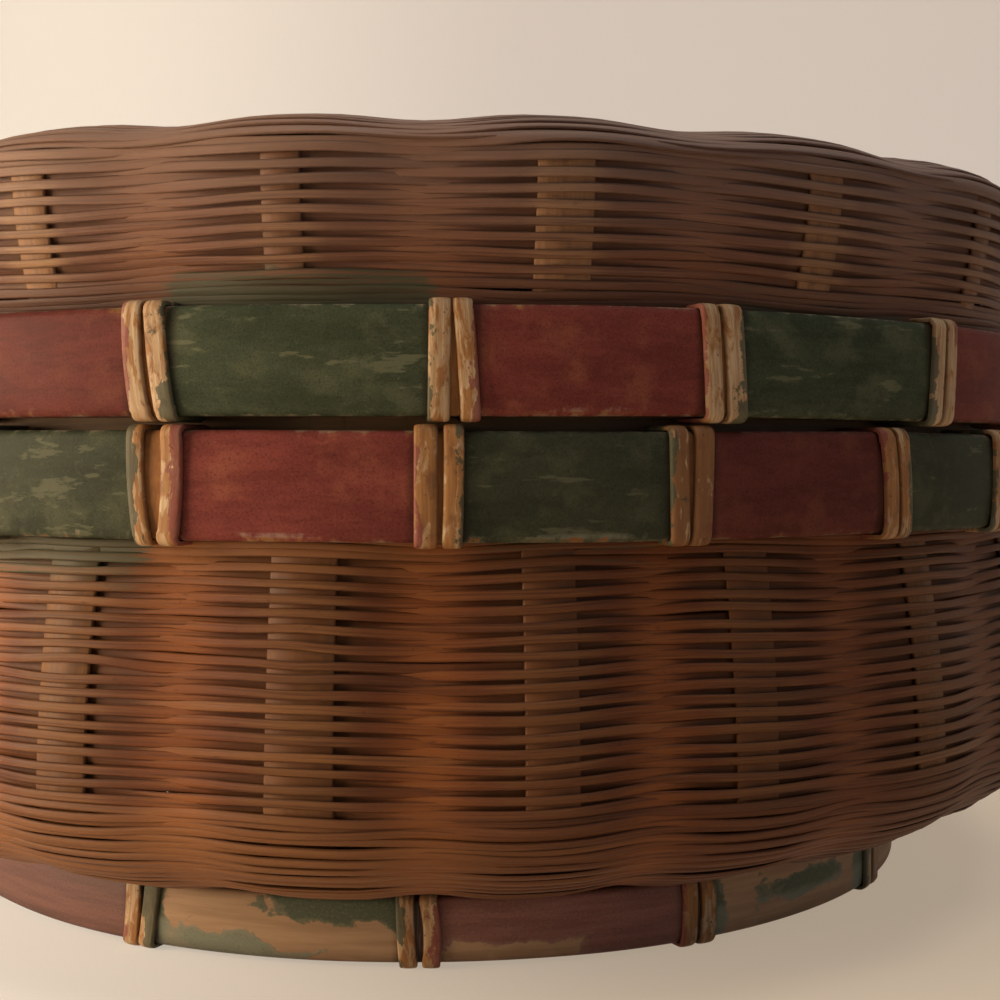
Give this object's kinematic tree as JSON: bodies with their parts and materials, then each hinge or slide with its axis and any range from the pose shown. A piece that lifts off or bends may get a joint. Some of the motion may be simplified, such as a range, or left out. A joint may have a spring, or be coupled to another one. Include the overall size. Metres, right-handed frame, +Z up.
{
  "type": "lidded wicker basket",
  "caption": "Round lidded wicker tea basket: fine brown weave over flat bamboo stakes, red and green painted rim hoops tied with pairs of cane, a foot ring and a lift-off lid.",
  "frame": {"origin": "on the table at the middle of the foot", "axes": "+Z up along the axis of the basket, -Y towards the pictured side, +X to the picture's right"},
  "size_m": [0.2415, 0.2416, 0.1302],
  "materials": {
    "lid_wicker": "fine wicker, purple grey brown",
    "bowl_wicker": "fine wicker, orange brown",
    "stake_bamboo": "split bamboo, satin",
    "painted_hoop": "split bamboo painted red and dark green by turns, worn satin",
    "worn_hoop": "split bamboo, red and green paint mostly worn off",
    "plain_bamboo": "plain split bamboo",
    "binding_cane": "split cane, satin"
  },
  "bodies": {
    "basket": {"body_weave": "bowl_wicker", "body_stake_1": "stake_bamboo", "body_stake_2": "stake_bamboo", "body_stake_3": "stake_bamboo", "body_stake_4": "stake_bamboo", "body_stake_5": "stake_bamboo", "body_stake_6": "stake_bamboo", "body_stake_7": "stake_bamboo", "body_stake_8": "stake_bamboo", "body_stake_9": "stake_bamboo", "body_stake_10": "stake_bamboo", "body_rim_hoop": "painted_hoop", "body_inner_hoop": "plain_bamboo", "body_lashing": "binding_cane", "body_collar": "plain_bamboo", "foot_hoop": "worn_hoop", "foot_inner_hoop": "plain_bamboo", "foot_lashing": "binding_cane"},
    "lid": {"lid_weave": "lid_wicker", "lid_stake_1": "stake_bamboo", "lid_stake_2": "stake_bamboo", "lid_stake_3": "stake_bamboo", "lid_stake_4": "stake_bamboo", "lid_stake_5": "stake_bamboo", "lid_stake_6": "stake_bamboo", "lid_stake_7": "stake_bamboo", "lid_stake_8": "stake_bamboo", "lid_stake_9": "stake_bamboo", "lid_rim_hoop": "painted_hoop", "lid_inner_hoop": "plain_bamboo", "lid_lashing": "binding_cane"}
  },
  "joints": [
    {"name": "lid_lift", "type": "slide", "parent": "basket", "child": "lid", "axis": [0, 0, 1], "range_m": [0, 0.12]}
  ]
}
